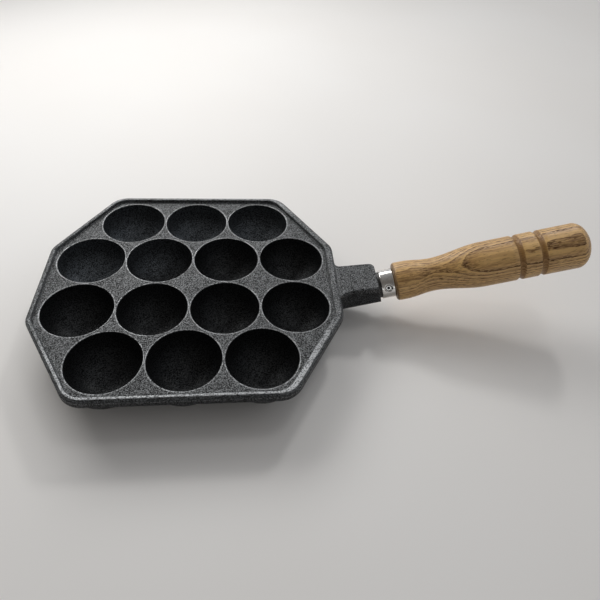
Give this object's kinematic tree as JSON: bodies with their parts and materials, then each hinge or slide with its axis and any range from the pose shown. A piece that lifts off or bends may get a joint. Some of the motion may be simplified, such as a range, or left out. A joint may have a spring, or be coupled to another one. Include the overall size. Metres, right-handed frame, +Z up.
{
  "type": "takoyaki pan",
  "caption": "Cast-iron takoyaki pan: an octagonal plate of round batter cups with a low rounded rim and a boss that carries a turned wooden handle with a plated ferrule.",
  "frame": {"origin": "on the resting plane under the cups, below the middle of the whole pan's bounding box", "axes": "+Z up, square to the plate's web; +X from the plate towards the handle, which also climbs; +Y across the plate, so that the ferrule's pin faces -Y"},
  "size_m": [0.3344, 0.169, 0.0668],
  "materials": {
    "cast_iron": "seasoned rough sand casting, matte",
    "zinc_steel": "zinc-plated steel, dull",
    "plated_steel": "bright nickel-plated sleeve, polished",
    "pin_steel": "dark steel nail",
    "wood": "turned ash, clear coated, satin"
  },
  "bodies": {
    "root": {"plate_casting": "cast_iron", "hanger_bolt": "zinc_steel", "ferrule": "plated_steel", "ferrule_pin": "pin_steel", "wooden_grip": "wood"}
  },
  "joints": []
}
